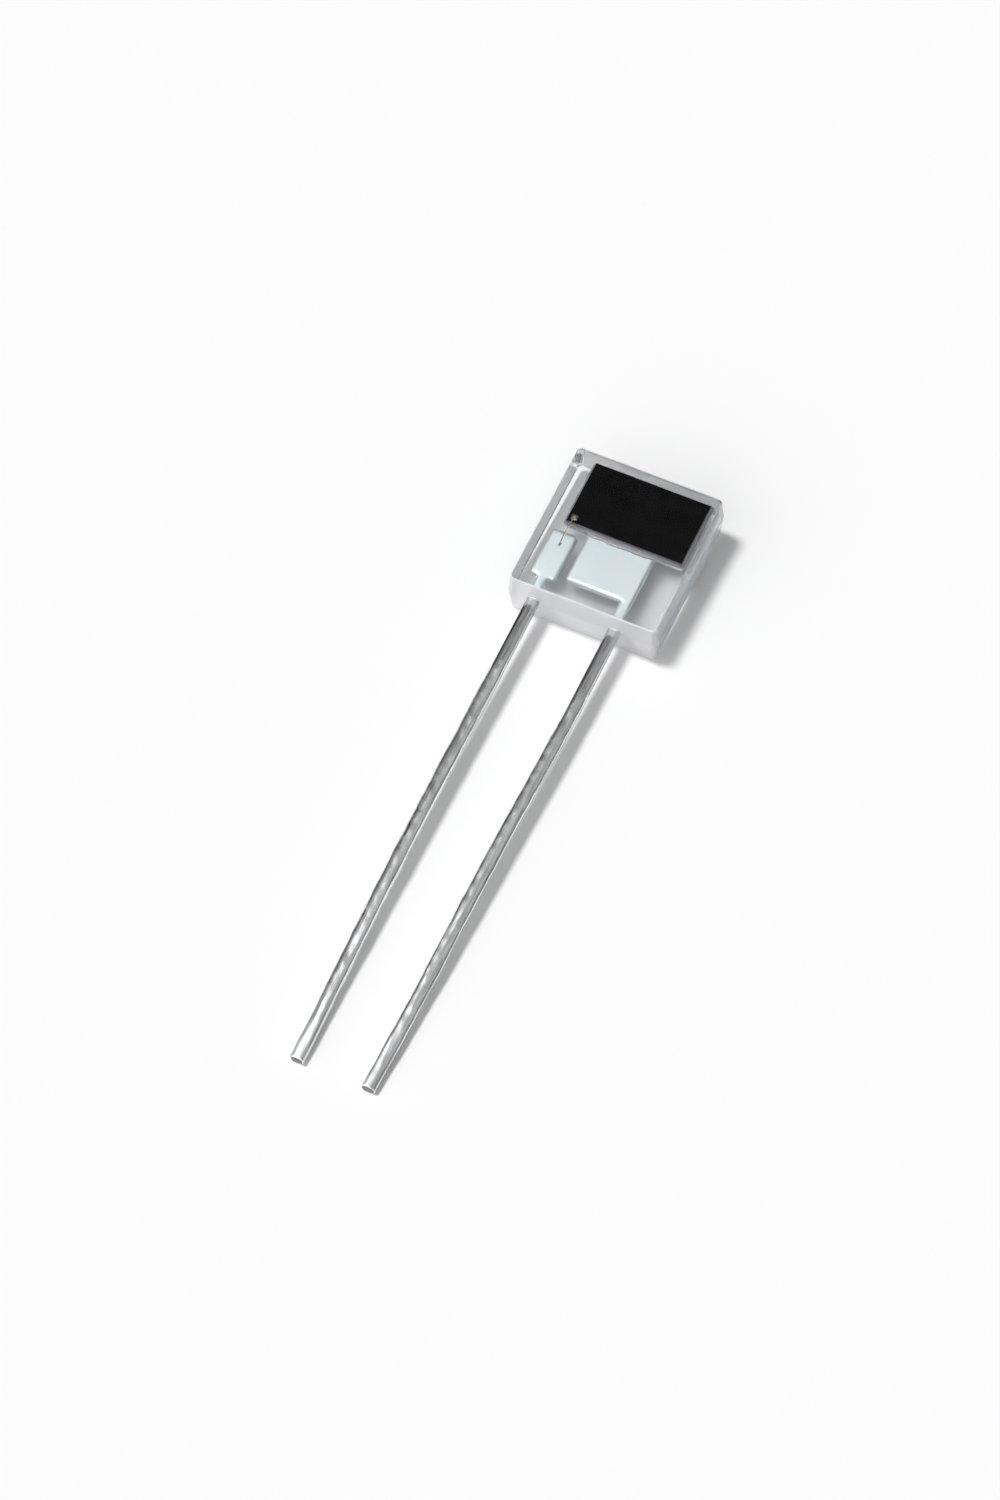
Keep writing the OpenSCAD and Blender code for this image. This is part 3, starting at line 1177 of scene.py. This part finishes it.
@dataclass
class BondWire:
    """The arched wire from the bond post to the chip's corner, with its foot and its ball.

    Attributes:
        foot: X and Y of the foot's middle.
        ball: X and Y of the ball's middle.
        post_top: Z of the bond post.
        chip_top: Z of the bond pad.
        thickness: thickness of the wire.
        rise: how far the wire rises over the line between its ends.
        start: where the wire leaves the foot, as a share of the foot's height.
        ball_width: width of the ball.
        ball_height: height of the ball.
        ball_sink: how far the ball is sunk in the bond pad.
        ball_cut: share of the half round that the ball keeps.
        ball_power: how square the half round is, where 2 is a circle.
        foot_length: length of the foot.
        foot_width: width of the foot.
        foot_height: height of the foot.
        foot_sink: how far the foot is sunk in the post.
        foot_turn: share of the quarter ellipse that the foot keeps.
        foot_draw: how far a whole quarter would draw the foot in, as a share of half its width.
        foot_corner: radius of the foot's corners, as a share of half its width.
        stations: sections along the wire.
        wire_points: points round the wire.
        foot_rings: sections up the foot.
        foot_steps: steps in each corner of the foot.
        ball_rings: sections up the ball.
        ball_points: points round the ball.
    """

    foot: Span = (-1.51, 1.85)
    ball: Span = (-1.45, 2.78)
    post_top: float = 1.05
    chip_top: float = 1.283
    thickness: float = 0.03
    rise: float = 0.19
    start: float = 0.8
    ball_width: float = 0.11
    ball_height: float = 0.04
    ball_sink: float = 0.002
    ball_cut: float = 0.92
    ball_power: float = 2.6
    foot_length: float = 0.14
    foot_width: float = 0.08
    foot_height: float = 0.03
    foot_sink: float = 0.004
    foot_turn: float = 0.9
    foot_draw: float = 0.8
    foot_corner: float = 0.9
    stations: int = 40
    wire_points: int = 12
    foot_rings: int = 7
    foot_steps: int = 5
    ball_rings: int = 9
    ball_points: int = 20

    def heading(self) -> tuple[Array, Array, float]:
        """Finds which way the wire runs.

        Returns:
            Unit directions along and square to the wire's run, and the run's length.
        """
        run = np.array(self.ball) - np.array(self.foot)
        length = float(np.linalg.norm(run))
        ahead = run / length
        return ahead, np.array([-ahead[1], ahead[0]]), length

    def arch(self) -> Shell:
        """The wire: a circle carried along an arc of that rise over the line between its two bonds.

        Returns:
            The closed tube.
        """
        ahead, sideways, length = self.heading()
        first = np.array([0, self.post_top + self.foot_height * self.start])
        last = np.array([length, self.chip_top + self.ball_height / 2])
        chord = last - first
        span = np.linalg.norm(chord)
        chord /= span
        over = np.array([-chord[1], chord[0]])
        radius = (span**2 / 4 + self.rise**2) / (2 * self.rise)
        centre = (first + last) / 2 + over * (self.rise - radius)
        half = math.asin(span / 2 / radius)
        turn = np.linspace(-half, half, self.stations)[:, None]
        outward = np.sin(turn) * chord + np.cos(turn) * over
        path = centre + radius * outward
        around = np.linspace(0, 2 * math.pi, self.wire_points, endpoint=False)
        lift = self.thickness / 2 * np.cos(around)
        aside = self.thickness / 2 * np.sin(around)
        flat = path[:, None] + outward[:, None] * lift[None, :, None]
        plan = np.array(self.foot) + flat[..., :1] * ahead - aside[None, :, None] * sideways
        return Shell.from_rings(np.concatenate([plan, flat[..., 1:]], -1))

    def foot_pad(self) -> Shell:
        """The flattened foot: rounded rectangles that draw in as a quarter ellipse towards the top.

        Returns:
            The closed foot.
        """
        ahead, sideways, _ = self.heading()
        angle = np.linspace(0, QUARTER * self.foot_turn, self.foot_rings)
        climb = np.sin(angle) / math.sin(QUARTER * self.foot_turn)
        heights = self.post_top - self.foot_sink + (self.foot_height + self.foot_sink) * climb
        draw = self.foot_width / 2 * (1 - np.cos(angle)) * self.foot_draw
        half_length, half_width = self.foot_length / 2 - draw, self.foot_width / 2 - draw
        flat = rounded_rectangles(half_length, half_width, half_width * self.foot_corner, self.foot_steps)
        plan = np.array(self.foot) + flat[..., :1] * ahead + flat[..., 1:] * sideways
        return Shell.from_rings(stacked(plan, heights))

    def ball_bond(self) -> Shell:
        """The squashed ball: circles whose radius follows a flattened half round.

        Returns:
            The closed ball.
        """
        share = np.linspace(0, 1, self.ball_rings)
        level = np.abs(2 * share - 1) * self.ball_cut
        radius = self.ball_width / 2 * (1 - level**self.ball_power) ** (1 / self.ball_power)
        turn = np.linspace(0, 2 * math.pi, self.ball_points, endpoint=False)
        circle = np.stack([np.cos(turn), np.sin(turn)], -1)
        plan = np.array(self.ball) + radius[:, None, None] * circle
        heights = self.chip_top - self.ball_sink + (self.ball_height + self.ball_sink) * share
        return Shell.from_rings(stacked(plan, heights))

    def build(self, lying: LyingFrame, finishes: Materials) -> None:
        """Builds and dresses the wire."""
        shells = [self.arch(), self.foot_pad(), self.ball_bond()]
        make_piece("gold_wire", "bond_wire", shells, finishes, lying)


@dataclass
class Studio:
    """White table, one steep lamp from the left, the light of the room, and the camera.

    Attributes:
        table_half: half the side of the table.
        table_points: points along each side of the table.
        lamp_strength: strength of the lamp.
        lamp_height: degrees that the lamp stands above the table.
        lamp_heading: degrees from X to the lamp, anticlockwise.
        lamp_spread: degrees that the lamp measures across.
        window: direction of the room's window.
        room: light of the room, each at a dot product with the window's direction.
        front_swing: what X is multiplied by in front of the table, before that product.
        swing_span: Y over which that factor goes to 1.
        pale_wall: light of the pale wall at the front left.
        pale_wall_way: direction of that wall.
        pale_wall_span: dot product over which its light comes in.
        backdrop: grey of the backdrop, which only the camera sees.
        azimuth: degrees that the camera stands to the right of the leads.
        elevation: degrees that the camera stands above the table.
        roll: degrees that the camera is tilted.
        aim: X and Y of the point of the table that the camera looks at.
        distance: distance of the camera from that point.
        lens: focal length of the camera.
        sensor: width of the camera's sensor.
        clip: nearest and farthest distance that the camera sees, in metres.
        bounces: how often light may bounce, enough for the clear body.
    """

    table_half: float = 1500.0
    table_points: int = 5
    lamp_strength: float = 2.04
    lamp_height: float = 69.5
    lamp_heading: float = 188.0
    lamp_spread: float = 13.0
    window: Direction = (0.35, -0.55, 0.76)
    room: tuple[Span, ...] = (
        (-1.0, 0.05), (-0.35, 0.05), (0.2, 0.06), (0.35, 0.28),
        (0.42, 0.46), (0.47, 0.54), (0.6, 0.4), (1.0, 0.36),
    )
    front_swing: float = -2.2
    swing_span: Span = (-0.2, 0.4)
    pale_wall: float = 1.3
    pale_wall_way: Direction = (-0.3, -0.88, 0.36)
    pale_wall_span: Span = (0.6, 0.85)
    backdrop: float = 0.95
    azimuth: float = 24.469
    elevation: float = 58.157
    roll: float = 0.245
    aim: Span = (-0.503, 1.034)
    distance: float = 150.0
    lens: float = 126.70
    sensor: float = 36.0
    clip: Span = (0.001, 10.0)
    bounces: int = 24

    def table(self, finish: bpy.types.Material) -> None:
        """Builds the table top, a square grid at height zero.

        Args:
            finish: material of the table.
        """
        count = self.table_points
        step = np.linspace(-self.table_half, self.table_half, count) * MM
        x, y = np.meshgrid(step, step)
        points = np.stack([x, y, np.zeros_like(x)], -1).reshape(-1, 3)
        here = np.arange(count**2).reshape(count, count)
        faces = np.stack([here[:-1, :-1], here[:-1, 1:], here[1:, 1:], here[1:, :-1]], -1).reshape(-1, 4)
        mesh = bpy.data.meshes.new("table")
        mesh.from_pydata(points.tolist(), [], faces.tolist())
        mesh.materials.append(finish)
        table = bpy.data.objects.new("table", mesh)
        bpy.context.scene.collection.objects.link(table)

    def lamp(self) -> None:
        """Hangs the lamp, far away in its heading and height."""
        light = bpy.data.lights.new("lamp", "SUN")
        light.energy = self.lamp_strength
        light.angle = math.radians(self.lamp_spread)
        lamp = bpy.data.objects.new("lamp", light)
        turn, lift = math.radians(self.lamp_heading), math.radians(self.lamp_height)
        away = Vector((math.cos(turn) * math.cos(lift), math.sin(turn) * math.cos(lift), math.sin(lift)))
        lamp.rotation_mode = "QUATERNION"
        lamp.rotation_quaternion = (-away).to_track_quat("-Z", "Y")
        bpy.context.scene.collection.objects.link(lamp)

    def room_light(self) -> None:
        """Lights the room by direction: by how near it is to the window, or by the pale wall if that is more.

        In front of the table X is swung over before the window's dot product is taken, so the light there
        comes from the other side. The camera sees a plain backdrop instead of the room.
        """
        world = bpy.data.worlds.new("room")
        world.use_nodes = True
        bpy.context.scene.world = world
        sheet = NodeSheet(world.node_tree)
        way = sheet.add("TexCoord").outputs["Generated"]
        split = sheet.add("SeparateXYZ", Vector=way).outputs
        swing = sheet.change(split["Y"], self.swing_span, (self.front_swing, 1.0))
        aside = sheet.combine("MULTIPLY", split["X"], swing)
        swung = sheet.add("CombineXYZ", X=aside, Y=split["Y"], Z=split["Z"]).outputs[0]
        ramp = sheet.add("ValToRGB", Fac=sheet.change(sheet.towards(swung, self.window), (-1.0, 1.0)))
        stops = ramp.color_ramp.elements
        for number, (level, light) in enumerate(self.room):
            stop = stops[number] if number < 2 else stops.new((level + 1) / 2)
            stop.position = (level + 1) / 2
            stop.color = grey(light)
        facing = sheet.towards(way, self.pale_wall_way)
        wall = sheet.change(facing, self.pale_wall_span, (0.0, self.pale_wall))
        both = sheet.combine("MAXIMUM", ramp.outputs["Color"], wall)
        room = sheet.add("Background", Color=both, Strength=1.0).outputs[0]
        backdrop = sheet.add("Background", Color=grey(self.backdrop), Strength=1.0).outputs[0]
        seen = sheet.add("LightPath").outputs["Is Camera Ray"]
        shown = sheet.add("MixShader", in0=seen, in1=room, in2=backdrop)
        sheet.add("OutputWorld", Surface=shown.outputs[0])

    def camera(self) -> None:
        """Sets up the camera, at its distance from the point of the table that it looks at."""
        turn, lift, lean = (math.radians(value) for value in (self.azimuth, self.elevation, self.roll))
        back = Vector((math.sin(turn) * math.cos(lift), -math.cos(turn) * math.cos(lift), math.sin(lift)))
        level = Vector((math.cos(turn), math.sin(turn), 0))
        upright = back.cross(level)
        right = math.cos(lean) * level + math.sin(lean) * upright
        over = math.cos(lean) * upright - math.sin(lean) * level
        data = bpy.data.cameras.new("camera")
        data.sensor_width = self.sensor
        data.lens = self.lens
        data.clip_start, data.clip_end = self.clip
        camera = bpy.data.objects.new("camera", data)
        place = Vector((*self.aim, 0.0)) * MM + back * self.distance * MM
        camera.matrix_world = Matrix.Translation(place) @ Matrix((right, over, back)).transposed().to_4x4()
        bpy.context.scene.collection.objects.link(camera)
        bpy.context.scene.camera = camera

    def build(self) -> None:
        """Sets up the whole studio."""
        scene = bpy.context.scene
        scene.view_settings.view_transform = "Standard"
        cycles = scene.cycles
        cycles.max_bounces = cycles.glossy_bounces = cycles.transmission_bounces = self.bounces
        cycles.sample_clamp_indirect = 0.0
        self.camera()
        self.table(WHITE_TABLE.make())
        self.lamp()
        self.room_light()


def main() -> None:
    """Builds the studio and every piece of the receiver."""
    logging.basicConfig(level=logging.INFO, format="%(name)s: %(message)s")
    body = EpoxyBody()
    lying = LyingFrame.from_record(frame["record"], body.length)
    Studio().build()
    walls = (MATT_LEAD_WALL, FROSTED_RIGHT_WALL, MATT_FAR_WALL)
    body.build(lying, [finish.make() for finish in (CLEAR_EPOXY, *walls)])
    leads = [LeadFrame().cathode(), LeadFrame().anode()]
    wall, tips = (lying.place(np.array([0.0, y, body.parting]))[1] for y in (0.0, -leads[0].length))
    strip, coat = PlatedStrip("plated_strip", float(wall)), SolderCoat("solder_coat", float(tips))
    lead_finishes = [finish.make() for finish in (strip, coat, SHADED_CUT_END)]
    for lead in leads:
        lead.build(lying, lead_finishes)
    chip_finishes = [finish.make() for finish in (CHIP_WINDOW, SAWN_SILICON, CONTACT_METAL)]
    Chip().build(lying, chip_finishes, [SILVER_PASTE.make()])
    BondWire().build(lying, [GOLD.make()])


if __name__ == "__main__":
    main()
